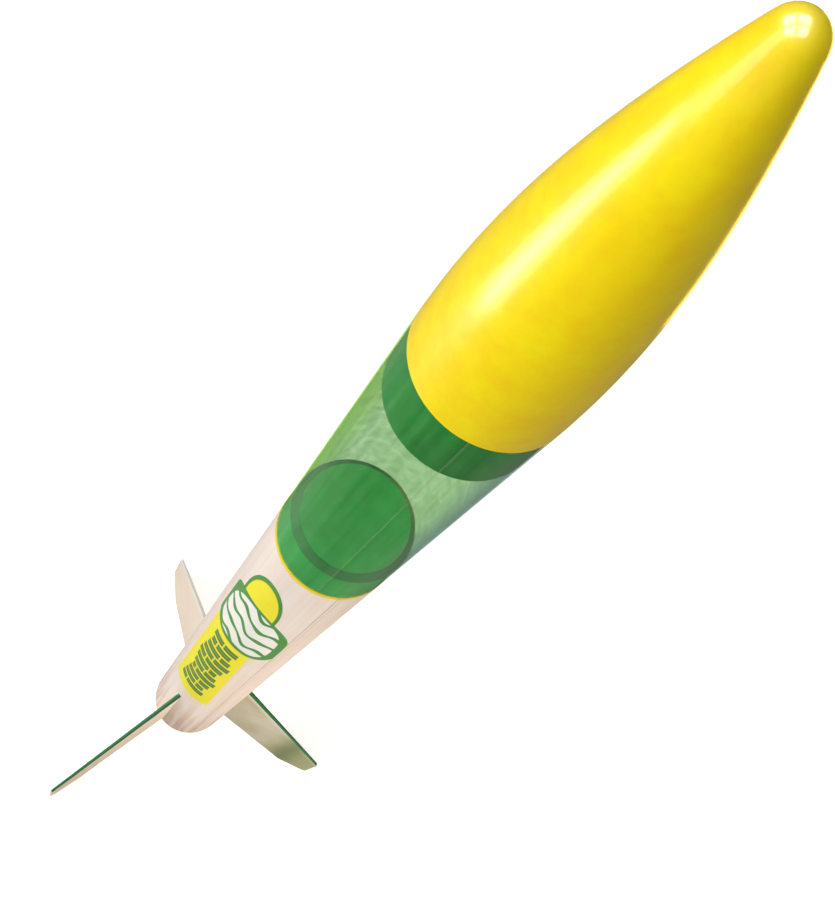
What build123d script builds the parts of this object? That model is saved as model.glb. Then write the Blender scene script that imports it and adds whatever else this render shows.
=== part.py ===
from build123d import *
import os
from math import cos, radians, sin

os.makedirs("parts", exist_ok=True)

# A single-stage payload rocket with a clear egg bay, standing on its three fins.
# Millimetres. The origin is the centre of the body tube's tail end, and +Z runs to the nose.
# Azimuths are degrees about +Z from +X.

# ---------------------------------------------------------------- driving dimensions
TUBE_OD = 56.3            # outside of the body tube and of the clear tube
BODY_WALL = 0.53          # spiral-wound card
BODY_LENGTH = 423.0
CLEAR_WALL = 0.5          # clear plastic sheet tube
CLEAR_LENGTH = 165.5
LIP_HEIGHT = 3.0          # yellow line between the two tubes

NOSE_LENGTH = 139.0
NOSE_TIP_R = 7.1
NOSE_TIP_SLOPE = 18.0     # half angle of the cone where the round tip begins, degrees
NOSE_WALL = 1.8
NOSE_SHOULDER = 25.0      # depth of the green shoulder in the clear tube
NOSE_SPIGOT = 9.0         # height of the shoulder's spigot inside the cone

ADAPTER_SHOULDER = 23.0   # depth of the adapter in the body tube
CUP_RISE = 22.5           # height of the green cup above the lip, up to its rim
CUP_CHAMFER = 3.3
PLASTIC_WALL = 1.4        # walls of the moulded shoulders, cup and floors

FIN_THICKNESS = 3.2
FIN_TIP_THICKNESS = 2.2
FIN_ROOT_LOW = 4.0
FIN_ROOT_HIGH = 105.5
FIN_SPAN = 93.35          # from the tube's surface to the fin's tip
FIN_TIP_HIGH = -17.0
FIN_FOOT_Z = -59.0        # level of the flat feet that the rocket stands on
FIN_FOOT_WIDTH = 26.0
FIN_CORNER_R = 4.5
FIN_EDGE_ROUND = 0.7
FIN_AZIMUTHS = {"fin_front": -90.0, "fin_right": 30.0, "fin_left": 150.0}

MOTOR_R = 12.0
MOTOR_LENGTH = 70.0
MOTOR_WALL = 3.1
MOTOR_OVERHANG = 2.0      # how far the motor stands out of its tube
MOTOR_TUBE_WALL = 0.5
MOTOR_TUBE_LENGTH = 95.0
RING_THICKNESS = 3.0      # centring rings
AFT_RING_Z = 16.0
THRUST_RING_HEIGHT = 6.0
THRUST_RING_WALL = 3.0

SLEEVE_LENGTH = 14.0      # retainer
SLEEVE_WALL = 2.45
SLEEVE_COLLAR = 2.5
CAP_WALL = 2.4
CAP_LIP = 2.0
CAP_OVERLAP = 2.0         # how far the cap's lip reaches in over the motor's end
CAP_NOTCHES = 18
CAP_NOTCH_R = 1.2

NOZZLE_RECESS = 1.0
NOZZLE_LENGTH = 12.0
THROAT_R = 1.9
THROAT_LENGTH = 5.0
NOZZLE_EXIT_R = 5.0
GRAIN_LENGTH = 36.0
CORE_R = 1.9
CORE_DEPTH = 8.0
DELAY_LENGTH = 9.0
CHARGE_LENGTH = 7.0
CLAY_CAP_LENGTH = 2.0

LUG_BORE_R = 2.6          # for a 4.8 mm launch rod
LUG_WALL = 0.4
LUG_LENGTH = 50.8
LUG_BEAD = 3.4            # width of the glue bead under a lug
LUG_AZIMUTH = 90.0
LUG_AFT_Z = 60.0
LUG_FORE_INSET = 72.2     # fore lug's top below the body tube's front end

BULKHEAD_THICKNESS = 3.0
BULKHEAD_INSET = 4.0      # from the adapter's lower edge
EYE_WIRE_R = 1.3
EYE_RING_R = 5.5
EYE_SHANK_R = 1.5
WASHER_R = 4.5
WASHER_THICKNESS = 0.8
NUT_FLATS = 5.5
NUT_HEIGHT = 2.4

ANCHOR_LENGTH = 34.0      # folded-paper cord anchor
ANCHOR_ARC = 44.0         # degrees
ANCHOR_THICKNESS = 1.4
ANCHOR_BELOW_SHOULDER = 12.0

WADDING_HEIGHT = 26.0
WADDING_GAP = 0.6         # to the tube's wall
CHUTE_R = 19.0
CHUTE_HEIGHT = 115.0

DECAL_THICKNESS = 0.12
DECAL_AZIMUTH = -84.0
DECAL_INSET = 24.0        # the sticker's top below the body tube's front end
PANEL_ABOVE_FIN = 25.5    # the sticker's lower edge above the fins' roots
PANEL_LEFT = 17.8         # sticker widths are measured square to the sticker's azimuth
PANEL_LOW_RIGHT = 15.0
PANEL_HIGH_RIGHT = 12.0
BAND_HEIGHT = 76.0
BAND_LEFT = 19.5
BAND_RIGHT = 21.3
BAND_LEFT_DROP = 20.0     # the crown's left end below its top
BAND_RIGHT_DROP = 36.0
BAND_CORNER_R = 12.0
TAB_HEIGHT = 37.0         # what shows of the dome above the band
TAB_HALF_WIDTH = 12.4
TAB_OFFSET = -2.1
DECAL_GAP = 0.2           # bare tube left between neighbouring decals

SEAM_WIDTH = 0.7          # lengthwise wrap edges on the two tubes
SEAM_DEPTH = 0.2
BODY_SEAM_AZIMUTH = -34.5
CLEAR_SEAM_AZIMUTH = -56.0

SLIP = 0.05               # radial clearance of sliding and glued shoulders
SCREW_CLEARANCE = 0.1     # cap over sleeve, shank through bulkhead
SLOT_CLEARANCE = 0.1      # each side of a fin tab
CAP_GAP = 0.5             # cap's rim to the sleeve's collar

# ---------------------------------------------------------------- derived sizes
TUBE_R = TUBE_OD / 2
BODY_IR = TUBE_R - BODY_WALL
CLEAR_IR = TUBE_R - CLEAR_WALL
CLEAR_Z = BODY_LENGTH + LIP_HEIGHT
NOSE_Z = CLEAR_Z + CLEAR_LENGTH
SHOULDER_R = CLEAR_IR - SLIP
COUPLER_R = BODY_IR - SLIP
COUPLER_Z = BODY_LENGTH - ADAPTER_SHOULDER
BULKHEAD_Z = COUPLER_Z + BULKHEAD_INSET
BULKHEAD_R = COUPLER_R - PLASTIC_WALL
MOTOR_Z = -MOTOR_OVERHANG
MOTOR_TOP = MOTOR_Z + MOTOR_LENGTH
CASE_IR = MOTOR_R - MOTOR_WALL
MOTOR_TUBE_IR = MOTOR_R + SLIP
MOTOR_TUBE_R = MOTOR_TUBE_IR + MOTOR_TUBE_WALL
FORE_RING_Z = MOTOR_TUBE_LENGTH - 2 * RING_THICKNESS
TAB_LOW = AFT_RING_Z + 2 * RING_THICKNESS
TAB_HIGH = FORE_RING_Z - RING_THICKNESS
SLEEVE_R = MOTOR_TUBE_R + SLEEVE_WALL
CAP_Z = MOTOR_Z - CAP_LIP
CAP_R = SLEEVE_R + SCREW_CLEARANCE + CAP_WALL
CAP_HOLE_R = MOTOR_R - CAP_OVERLAP
FIN_TIP_R = TUBE_R + FIN_SPAN
FIN_FOOT_R = FIN_TIP_R - FIN_FOOT_WIDTH
WADDING_R = BODY_IR - WADDING_GAP
WADDING_Z = MOTOR_TUBE_LENGTH
TAB_TOP = BODY_LENGTH - DECAL_INSET
BAND_TOP = TAB_TOP - TAB_HEIGHT
BAND_MIDDLE = BAND_TOP - BAND_HEIGHT / 2
PANEL_LOW = FIN_ROOT_HIGH + PANEL_ABOVE_FIN
LUG_FORE_Z = BODY_LENGTH - LUG_FORE_INSET - LUG_LENGTH


def ring(outer_r, inner_r, low, height):
    """A plain tube standing on z = low."""
    bore = Cylinder(inner_r, height, align=(Align.CENTER, Align.CENTER, Align.MIN))
    body = Cylinder(outer_r, height, align=(Align.CENTER, Align.CENTER, Align.MIN))
    return Pos(0, 0, low) * (body - bore)


def disc(outer_r, low, height):
    """A plain cylinder standing on z = low."""
    return Pos(0, 0, low) * Cylinder(outer_r, height, align=(Align.CENTER, Align.CENTER, Align.MIN))


def seam(azimuth, low, height):
    """A shallow lengthwise groove cutter for a tube's outside."""
    cutter = Box(2 * SEAM_DEPTH, SEAM_WIDTH, height, align=(Align.CENTER, Align.CENTER, Align.MIN))
    return Rot(0, 0, azimuth) * Pos(TUBE_R, 0, low) * cutter


def radial_prism(outline):
    """Extrude a sketch, drawn as width across and height up, outward from the axis."""
    plane = Plane(origin=(0, 0, 0), x_dir=(-sin(radians(DECAL_AZIMUTH)), cos(radians(DECAL_AZIMUTH)), 0),
                  z_dir=(cos(radians(DECAL_AZIMUTH)), sin(radians(DECAL_AZIMUTH)), 0))
    return extrude(plane * outline, amount=2 * TUBE_R)


# ---------------------------------------------------------------- nose
def nose_solid(inset):
    """The nose's revolved outline, moved in by inset."""
    slope = radians(NOSE_TIP_SLOPE)
    tip_r = NOSE_TIP_R - inset
    tip_centre = NOSE_LENGTH - NOSE_TIP_R
    base_r = TUBE_R - inset
    tip_edge = (tip_r * cos(slope), tip_centre + tip_r * sin(slope))
    shape = [(0.30, 0.938), (0.60, 0.722), (0.75, 0.549)]
    middle = [(TUBE_R * r - inset, NOSE_LENGTH * z) for z, r in shape]
    side = Spline((base_r, 0), *middle, tip_edge, tangents=[(0, 1), (-sin(slope), cos(slope))])
    arc_middle = radians((NOSE_TIP_SLOPE + 90) / 2)
    tip = ThreePointArc(tip_edge, (tip_r * cos(arc_middle), tip_centre + tip_r * sin(arc_middle)),
                        (0, tip_centre + tip_r))
    inner_sides = [Line((0, tip_centre + tip_r), (0, 0)), Line((0, 0), (base_r, 0))]
    outline = make_face(Curve() + [side, tip, *inner_sides])
    return Pos(0, 0, NOSE_Z) * revolve(Plane.XZ * outline, Axis.Z)


def nose_cone():
    return nose_solid(0) - nose_solid(NOSE_WALL)


def nose_shoulder():
    low = NOSE_Z - NOSE_SHOULDER
    spigot_r = TUBE_R - NOSE_WALL - 4 * SLIP
    body = disc(SHOULDER_R, low, NOSE_SHOULDER) + disc(spigot_r, NOSE_Z, NOSE_SPIGOT)
    body -= disc(spigot_r - PLASTIC_WALL, low + PLASTIC_WALL, NOSE_SHOULDER + NOSE_SPIGOT)
    bottom_edge = body.edges().filter_by(GeomType.CIRCLE).group_by(Axis.Z)[0]
    return fillet(bottom_edge, PLASTIC_WALL / 2)


# ---------------------------------------------------------------- payload bay and adapter
def payload_tube():
    return ring(TUBE_R, CLEAR_IR, CLEAR_Z, CLEAR_LENGTH) - seam(CLEAR_SEAM_AZIMUTH, CLEAR_Z, CLEAR_LENGTH)


def adapter_cup():
    height = CUP_RISE + CUP_CHAMFER
    cup = disc(SHOULDER_R, CLEAR_Z, height)
    top_edge = cup.edges().filter_by(GeomType.CIRCLE).group_by(Axis.Z)[-1]
    cup = chamfer(top_edge, CUP_CHAMFER)
    hollow = disc(SHOULDER_R - PLASTIC_WALL, CLEAR_Z, height - PLASTIC_WALL)
    inner_edge = hollow.edges().filter_by(GeomType.CIRCLE).group_by(Axis.Z)[-1]
    return cup - chamfer(inner_edge, CUP_CHAMFER)


def adapter_collar():
    spigot_r = SHOULDER_R - PLASTIC_WALL - SLIP
    collar = disc(COUPLER_R, COUPLER_Z, ADAPTER_SHOULDER) + disc(TUBE_R, BODY_LENGTH, LIP_HEIGHT)
    collar += disc(spigot_r, CLEAR_Z, CUP_RISE / 2)
    bore_r = BULKHEAD_R - PLASTIC_WALL
    collar -= disc(bore_r, COUPLER_Z, ADAPTER_SHOULDER + LIP_HEIGHT + CUP_RISE)
    return collar - disc(BULKHEAD_R, COUPLER_Z, BULKHEAD_INSET + BULKHEAD_THICKNESS)


def coupler_bulkhead():
    return ring(BULKHEAD_R, EYE_SHANK_R + SCREW_CLEARANCE, BULKHEAD_Z, BULKHEAD_THICKNESS)


def screw_eye():
    eye_z = BULKHEAD_Z - EYE_RING_R - EYE_WIRE_R - 1.0
    shank_low = eye_z + EYE_RING_R
    shank_top = BULKHEAD_Z + BULKHEAD_THICKNESS + WASHER_THICKNESS + NUT_HEIGHT + 1.0
    eye = Pos(0, 0, eye_z) * Rot(90, 0, 0) * Torus(EYE_RING_R, EYE_WIRE_R)
    return eye + disc(EYE_SHANK_R, shank_low, shank_top - shank_low)


def eye_washer():
    return ring(WASHER_R, EYE_SHANK_R + SCREW_CLEARANCE, BULKHEAD_Z + BULKHEAD_THICKNESS, WASHER_THICKNESS)


def eye_nut():
    low = BULKHEAD_Z + BULKHEAD_THICKNESS + WASHER_THICKNESS
    blank = extrude(RegularPolygon(NUT_FLATS / 2, 6, major_radius=False), amount=NUT_HEIGHT)
    return Pos(0, 0, low) * blank - disc(EYE_SHANK_R, low, NUT_HEIGHT)


# ---------------------------------------------------------------- booster
def body_tube():
    tube = ring(TUBE_R, BODY_IR, 0, BODY_LENGTH) - seam(BODY_SEAM_AZIMUTH, 0, BODY_LENGTH)
    slot = Box(TUBE_OD, FIN_THICKNESS + 2 * SLOT_CLEARANCE, TAB_HIGH - TAB_LOW,
               align=(Align.MIN, Align.CENTER, Align.MIN))
    for azimuth in FIN_AZIMUTHS.values():
        tube -= Rot(0, 0, azimuth) * Pos(0, 0, TAB_LOW) * slot
    return tube


def leading_edges(blade):
    """The two long edges of a fin's slanted leading edge."""
    long_edges = blade.edges().filter_by(lambda edge: edge.length > FIN_TIP_R)
    return long_edges.filter_by(lambda edge: edge.center().Z > FIN_ROOT_LOW)


def fin(azimuth):
    plan = make_face(Polyline(
        (0, FIN_ROOT_LOW),
        (TUBE_R, FIN_ROOT_LOW),
        (FIN_FOOT_R, FIN_FOOT_Z),
        (FIN_TIP_R, FIN_FOOT_Z),
        (FIN_TIP_R, FIN_TIP_HIGH),
        (TUBE_R, FIN_ROOT_HIGH),
        (0, FIN_ROOT_HIGH),
        close=True,
    ))
    taper = make_face(Polyline(
        (0, -FIN_THICKNESS / 2),
        (TUBE_R, -FIN_THICKNESS / 2),
        (FIN_TIP_R, -FIN_TIP_THICKNESS / 2),
        (FIN_TIP_R, FIN_TIP_THICKNESS / 2),
        (TUBE_R, FIN_THICKNESS / 2),
        (0, FIN_THICKNESS / 2),
        close=True,
    ))
    span = FIN_ROOT_HIGH - FIN_FOOT_Z
    blade = extrude(Plane.XZ * plan, amount=FIN_THICKNESS / 2, both=True)
    blade &= Pos(0, 0, FIN_FOOT_Z) * extrude(taper, amount=span)
    blade = fillet(leading_edges(blade), FIN_EDGE_ROUND)
    rounded = fillet(plan.vertices().group_by(Axis.X)[-1], FIN_CORNER_R)
    blade &= extrude(Plane.XZ * rounded, amount=FIN_THICKNESS, both=True)
    blade -= disc(TUBE_R, FIN_FOOT_Z, span)
    tab = Box(TUBE_R - MOTOR_TUBE_R, FIN_THICKNESS, TAB_HIGH - TAB_LOW,
              align=(Align.MIN, Align.CENTER, Align.MIN))
    blade += Pos(MOTOR_TUBE_R, 0, TAB_LOW) * tab
    return Rot(0, 0, azimuth) * blade


def launch_lug(low):
    outer_r = LUG_BORE_R + LUG_WALL
    centre = TUBE_R + outer_r
    bead = Box(outer_r, LUG_BEAD, LUG_LENGTH, align=(Align.MAX, Align.CENTER, Align.MIN))
    lug = Pos(centre, 0, low) * (disc(outer_r, 0, LUG_LENGTH) + bead - disc(LUG_BORE_R, 0, LUG_LENGTH))
    return Rot(0, 0, LUG_AZIMUTH) * (lug - disc(TUBE_R, low, LUG_LENGTH))


def motor_tube():
    return ring(MOTOR_TUBE_R, MOTOR_TUBE_IR, 0, MOTOR_TUBE_LENGTH)


def centering_ring(low):
    return ring(BODY_IR, MOTOR_TUBE_R, low, RING_THICKNESS)


def thrust_ring():
    return ring(MOTOR_TUBE_IR, MOTOR_TUBE_IR - THRUST_RING_WALL, MOTOR_TOP, THRUST_RING_HEIGHT)


def cord_mount():
    top = COUPLER_Z - ANCHOR_BELOW_SHOULDER
    band = ring(BODY_IR, BODY_IR - ANCHOR_THICKNESS, top - ANCHOR_LENGTH, ANCHOR_LENGTH)
    half = BODY_IR * sin(radians(ANCHOR_ARC / 2))
    keep = Box(TUBE_OD, 2 * half, ANCHOR_LENGTH, align=(Align.MIN, Align.CENTER, Align.MIN))
    return band & Pos(0, 0, top - ANCHOR_LENGTH) * keep


def recovery_wadding():
    return disc(WADDING_R, WADDING_Z, WADDING_HEIGHT)


def parachute_pack():
    return disc(CHUTE_R, WADDING_Z + WADDING_HEIGHT, CHUTE_HEIGHT)


# ---------------------------------------------------------------- retainer and motor
def retainer_sleeve():
    inner_r = MOTOR_TUBE_R
    sleeve = ring(SLEEVE_R, inner_r, 0, SLEEVE_LENGTH)
    return sleeve + ring(CAP_R, inner_r, SLEEVE_LENGTH - SLEEVE_COLLAR, SLEEVE_COLLAR)


def retainer_cap():
    height = SLEEVE_LENGTH - SLEEVE_COLLAR - CAP_GAP - CAP_Z
    cap = disc(CAP_R, CAP_Z, height) - disc(CAP_HOLE_R, CAP_Z, CAP_LIP)
    cap -= disc(SLEEVE_R + SCREW_CLEARANCE, CAP_Z + CAP_LIP, height - CAP_LIP)
    notch = disc(CAP_NOTCH_R, CAP_Z, height)
    for index in range(CAP_NOTCHES):
        cap -= Rot(0, 0, 360 * index / CAP_NOTCHES) * Pos(CAP_R + CAP_NOTCH_R / 2, 0, 0) * notch
    return cap


def motor_casing():
    return ring(MOTOR_R, CASE_IR, MOTOR_Z, MOTOR_LENGTH)


def clay_nozzle():
    low = MOTOR_Z + NOZZLE_RECESS
    flare = NOZZLE_LENGTH - THROAT_LENGTH
    exit_cone = Cone(NOZZLE_EXIT_R, THROAT_R, flare, align=(Align.CENTER, Align.CENTER, Align.MIN))
    body = ring(CASE_IR, THROAT_R, low, NOZZLE_LENGTH)
    return body - Pos(0, 0, low) * exit_cone


def propellant_grain():
    low = MOTOR_Z + NOZZLE_RECESS + NOZZLE_LENGTH
    return disc(CASE_IR, low, GRAIN_LENGTH) - disc(CORE_R, low, CORE_DEPTH)


def rammed_slug(below, height):
    """A plug of the casing's bore, standing on what lies below it."""
    return disc(CASE_IR, MOTOR_Z + NOZZLE_RECESS + NOZZLE_LENGTH + below, height)


# ---------------------------------------------------------------- decals
def decal(outline):
    """A sticker: the part of a thin skin on the tube that lies under the outline."""
    skin = ring(TUBE_R + DECAL_THICKNESS, TUBE_R, 0, BODY_LENGTH)
    return skin & radial_prism(outline)


def band_outline(grow):
    """The band: square-cut below with rounded corners, crowned above, grown by grow all round."""
    low = BAND_TOP - BAND_HEIGHT - grow
    left, right = BAND_LEFT + grow, BAND_RIGHT + grow
    left_end, right_end = (-left, BAND_TOP - BAND_LEFT_DROP), (right, BAND_TOP - BAND_RIGHT_DROP)
    sides = Polyline(left_end, (-left, low), (right, low), right_end)
    crown = EllipticalCenterArc((0, right_end[1]), right, BAND_RIGHT_DROP + grow, 0, arc_size=90)
    crown += EllipticalCenterArc((0, left_end[1]), left, BAND_LEFT_DROP + grow, 90, arc_size=90)
    band = make_face(sides + crown)
    return fillet(band.vertices().sort_by(Axis.Y)[:2], BAND_CORNER_R + grow)


def panel_decal():
    panel = make_face(Polyline((-PANEL_LEFT, PANEL_LOW), (PANEL_LOW_RIGHT, PANEL_LOW),
                               (PANEL_HIGH_RIGHT, BAND_MIDDLE), (-PANEL_LEFT, BAND_MIDDLE), close=True))
    return decal(panel) - radial_prism(band_outline(DECAL_GAP))


def band_decal():
    return decal(band_outline(0))


def tab_decal():
    """A dome that stands behind the band's crown."""
    left, right = TAB_OFFSET - TAB_HALF_WIDTH, TAB_OFFSET + TAB_HALF_WIDTH
    low = BAND_TOP - BAND_LEFT_DROP
    sides = Polyline((left, BAND_TOP), (left, low), (right, low), (right, BAND_TOP))
    dome = EllipticalCenterArc((TAB_OFFSET, BAND_TOP), TAB_HALF_WIDTH, TAB_HEIGHT, 0, arc_size=180)
    return decal(make_face(sides + dome)) - radial_prism(band_outline(DECAL_GAP))


# ---------------------------------------------------------------- write every node
grain_top = GRAIN_LENGTH
delay_top = grain_top + DELAY_LENGTH
charge_top = delay_top + CHARGE_LENGTH

nodes = {
    "nose_cone": nose_cone(),
    "nose_shoulder": nose_shoulder(),
    "payload_tube": payload_tube(),
    "adapter_cup": adapter_cup(),
    "adapter_collar": adapter_collar(),
    "coupler_bulkhead": coupler_bulkhead(),
    "screw_eye": screw_eye(),
    "eye_washer": eye_washer(),
    "eye_nut": eye_nut(),
    "body_tube": body_tube(),
    "launch_lug_aft": launch_lug(LUG_AFT_Z),
    "launch_lug_fore": launch_lug(LUG_FORE_Z),
    "motor_tube": motor_tube(),
    "aft_centering_ring": centering_ring(AFT_RING_Z),
    "fore_centering_ring": centering_ring(FORE_RING_Z),
    "thrust_ring": thrust_ring(),
    "cord_mount": cord_mount(),
    "recovery_wadding": recovery_wadding(),
    "parachute_pack": parachute_pack(),
    "retainer_sleeve": retainer_sleeve(),
    "retainer_cap": retainer_cap(),
    "motor_casing": motor_casing(),
    "clay_nozzle": clay_nozzle(),
    "propellant_grain": propellant_grain(),
    "delay_charge": rammed_slug(grain_top, DELAY_LENGTH),
    "ejection_charge": rammed_slug(delay_top, CHARGE_LENGTH),
    "clay_cap": rammed_slug(charge_top, CLAY_CAP_LENGTH),
    "panel_decal": panel_decal(),
    "band_decal": band_decal(),
    "tab_decal": tab_decal(),
}
for name, azimuth in FIN_AZIMUTHS.items():
    nodes[name] = fin(azimuth)

for name, shape in nodes.items():
    export_step(shape, f"parts/{name}.step")
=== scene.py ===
"""The looks of a model rocket with a clear egg bay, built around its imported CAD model.

Metres throughout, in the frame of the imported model: the origin is the centre of the body tube's
tail end and +Z runs to the nose. Azimuths are degrees about +Z from +X.
"""

import math

import bpy
import numpy as np
from mathutils import Euler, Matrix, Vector


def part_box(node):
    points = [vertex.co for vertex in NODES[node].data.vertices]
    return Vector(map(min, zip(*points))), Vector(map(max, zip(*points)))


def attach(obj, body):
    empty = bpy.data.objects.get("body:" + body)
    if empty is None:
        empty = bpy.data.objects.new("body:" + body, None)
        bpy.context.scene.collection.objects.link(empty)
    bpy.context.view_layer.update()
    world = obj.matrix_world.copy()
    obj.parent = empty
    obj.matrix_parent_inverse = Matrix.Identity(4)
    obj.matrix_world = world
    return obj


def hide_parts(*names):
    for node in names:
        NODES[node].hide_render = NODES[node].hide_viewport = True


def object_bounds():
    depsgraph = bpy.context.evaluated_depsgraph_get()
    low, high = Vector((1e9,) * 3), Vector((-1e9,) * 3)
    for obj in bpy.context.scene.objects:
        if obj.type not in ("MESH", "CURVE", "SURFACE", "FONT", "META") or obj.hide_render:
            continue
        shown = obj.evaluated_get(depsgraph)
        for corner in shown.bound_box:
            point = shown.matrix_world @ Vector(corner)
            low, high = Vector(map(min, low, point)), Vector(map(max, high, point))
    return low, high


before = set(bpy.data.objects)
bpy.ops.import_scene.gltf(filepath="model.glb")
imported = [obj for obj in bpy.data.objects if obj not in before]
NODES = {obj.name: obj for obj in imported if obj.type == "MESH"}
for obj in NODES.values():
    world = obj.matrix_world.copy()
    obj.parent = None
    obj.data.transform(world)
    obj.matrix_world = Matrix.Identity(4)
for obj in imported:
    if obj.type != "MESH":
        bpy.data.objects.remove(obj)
cad_low, cad_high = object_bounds()

MM = 0.001

# ---------------------------------------------------------------- places read from the frame
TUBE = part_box("body_tube")
TUBE_R = min(-TUBE[0].x, TUBE[1].x)
FOOT_Z = cad_low.z
TOP_Z = cad_high.z
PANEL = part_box("panel_decal")
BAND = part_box("band_decal")
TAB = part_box("tab_decal")

# ---------------------------------------------------------------- azimuths, in degrees
DECAL_AZIMUTH = -84.0
BAY_FACE_AZIMUTH = -76.0         # the middle of the clear tube's face towards the camera
MARKING_LINE_AZIMUTH = -34.5     # a straight pencilled line down the white tube
KEY_AZIMUTH = -120.0
FIN_AZIMUTHS = {"fin_front": -90.0, "fin_right": 30.0, "fin_left": 150.0}


# Sockets of the Mix node that carry colours: its float and vector ones come before them.
MIX_COLOUR_A, MIX_COLOUR_B = 6, 7
MIX_COLOUR_RESULT = 2


def srgb(red, green, blue):
    """A colour given as 0 to 255 screen values, as the linear colour that shaders take."""
    linear = []
    for value in (red, green, blue):
        share = value / 255
        linear.append(share / 12.92 if share <= 0.04045 else ((share + 0.055) / 1.055) ** 2.4)
    return (*linear, 1.0)


class Paint:
    """One material, built a node at a time around its Principled shader."""

    def __init__(self, name, **sockets):
        self.material = bpy.data.materials.new(name)
        self.material.use_nodes = True
        self.nodes = self.material.node_tree.nodes
        self.links = self.material.node_tree.links
        self.shader = self.nodes["Principled BSDF"]
        self.place = self.nodes.new("ShaderNodeTexCoord").outputs["Object"]
        for socket, value in sockets.items():
            self.put(self.shader.inputs[socket.replace("_", " ")], value)

    def put(self, socket, value):
        """Links value to socket if it is an output, or else sets it as a constant."""
        if isinstance(value, bpy.types.NodeSocket):
            self.links.new(value, socket)
        else:
            socket.default_value = value

    def math(self, operation, first, second=0.0):
        """The result of one Math node; second is left out for a function of one number."""
        node = self.nodes.new("ShaderNodeMath")
        node.operation = operation
        for socket, value in zip(node.inputs, (first, second)):
            self.put(socket, value)
        return node.outputs["Value"]

    def axes(self, vector=None):
        """The x, y and z outputs of a vector."""
        node = self.nodes.new("ShaderNodeSeparateXYZ")
        self.put(node.inputs["Vector"], vector or self.place)
        return node.outputs["X"], node.outputs["Y"], node.outputs["Z"]

    def vector(self, x, y, z):
        node = self.nodes.new("ShaderNodeCombineXYZ")
        for socket, value in zip(node.inputs, (x, y, z)):
            self.put(socket, value)
        return node.outputs["Vector"]

    def noise(self, scale, detail=3.0, rough=0.5, at=None, distortion=0.0):
        """Noise of that many grains per metre, from 0 to 1."""
        node = self.nodes.new("ShaderNodeTexNoise")
        self.put(node.inputs["Vector"], at or self.place)
        self.put(node.inputs["Scale"], scale)
        self.put(node.inputs["Detail"], detail)
        self.put(node.inputs["Roughness"], rough)
        self.put(node.inputs["Distortion"], distortion)
        return node.outputs["Fac"]

    def stretched(self, x, y, z):
        """Object coordinates scaled along each axis, for grain that runs one way."""
        node = self.nodes.new("ShaderNodeMapping")
        self.put(node.inputs["Vector"], self.place)
        node.inputs["Scale"].default_value = (x, y, z)
        return node.outputs["Vector"]

    def span(self, value, low, high, to_low=0.0, to_high=1.0, smooth=False):
        """value mapped from low..high to to_low..to_high, and held at its ends."""
        node = self.nodes.new("ShaderNodeMapRange")
        node.interpolation_type = "SMOOTHSTEP" if smooth else "LINEAR"
        for socket, number in zip(node.inputs, (value, low, high, to_low, to_high)):
            self.put(socket, number)
        return node.outputs["Result"]

    def mix(self, share, first, second):
        """A mix of two colours, with that share of the second."""
        node = self.nodes.new("ShaderNodeMix")
        node.data_type = "RGBA"
        self.put(node.inputs["Factor"], share)
        self.put(node.inputs[MIX_COLOUR_A], first)
        self.put(node.inputs[MIX_COLOUR_B], second)
        return node.outputs[MIX_COLOUR_RESULT]

    def around(self, azimuth):
        """The length round the tube's surface from that azimuth, in metres, and the height."""
        x, y, z = self.axes()
        cosine, sine = math.cos(math.radians(azimuth)), math.sin(math.radians(azimuth))
        out = self.math("ADD", self.math("MULTIPLY", x, cosine), self.math("MULTIPLY", y, sine))
        side = self.math("SUBTRACT", self.math("MULTIPLY", y, cosine), self.math("MULTIPLY", x, sine))
        return self.math("MULTIPLY", self.math("ARCTAN2", side, out), TUBE_R), z

    def across(self, azimuth):
        """The distance square to that azimuth, in metres, and the height."""
        x, y, z = self.axes()
        cosine, sine = math.cos(math.radians(azimuth)), math.sin(math.radians(azimuth))
        side = self.math("SUBTRACT", self.math("MULTIPLY", y, cosine), self.math("MULTIPLY", x, sine))
        return side, z

    def radius(self):
        """The distance from the rocket's axis, in metres."""
        x, y, _ = self.axes()
        square = self.math("ADD", self.math("MULTIPLY", x, x), self.math("MULTIPLY", y, y))
        return self.math("SQRT", square)

    def bump(self, height, depth, after=None):
        """Relief of that depth in metres, on top of an earlier one."""
        node = self.nodes.new("ShaderNodeBump")
        self.put(node.inputs["Height"], height)
        node.inputs["Distance"].default_value = depth
        if after is not None:
            self.put(node.inputs["Normal"], after)
        self.put(self.shader.inputs["Normal"], node.outputs["Normal"])
        return node.outputs["Normal"]

    def colour(self, value):
        self.put(self.shader.inputs["Base Color"], value)

    def rough(self, value):
        self.put(self.shader.inputs["Roughness"], value)


# ---------------------------------------------------------------- plastics and metal
def moulded_plastic(name, light, deep, roughness, coat, coat_roughness=0.12):
    """Glossy moulded plastic: colour mottle, uneven gloss and faint orange-peel relief."""
    paint = Paint(name, Coat_Weight=coat, Coat_Roughness=coat_roughness, Specular_IOR_Level=0.12)
    mottle = paint.span(paint.noise(30, 5, 0.65, distortion=0.6), 0.36, 0.68)
    fine = paint.span(paint.noise(130, 4, 0.6), 0.35, 0.7)
    share = paint.math("ADD", paint.math("MULTIPLY", mottle, 0.45), paint.math("MULTIPLY", fine, 0.4))
    paint.colour(paint.mix(share, light, deep))
    paint.rough(paint.span(paint.noise(75, 4, 0.6), 0.3, 0.7, roughness, roughness + 0.09))
    peel = paint.bump(paint.noise(420, 2, 0.5), 0.00002)
    paint.bump(paint.noise(48, 2, 0.4), 0.00006, peel)
    return paint


def yellow_plastic():
    light, deep = srgb(255, 236, 0), srgb(251, 206, 0)
    return moulded_plastic("yellow_plastic", light, deep, 0.34, 0.4, 0.14).material


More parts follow.
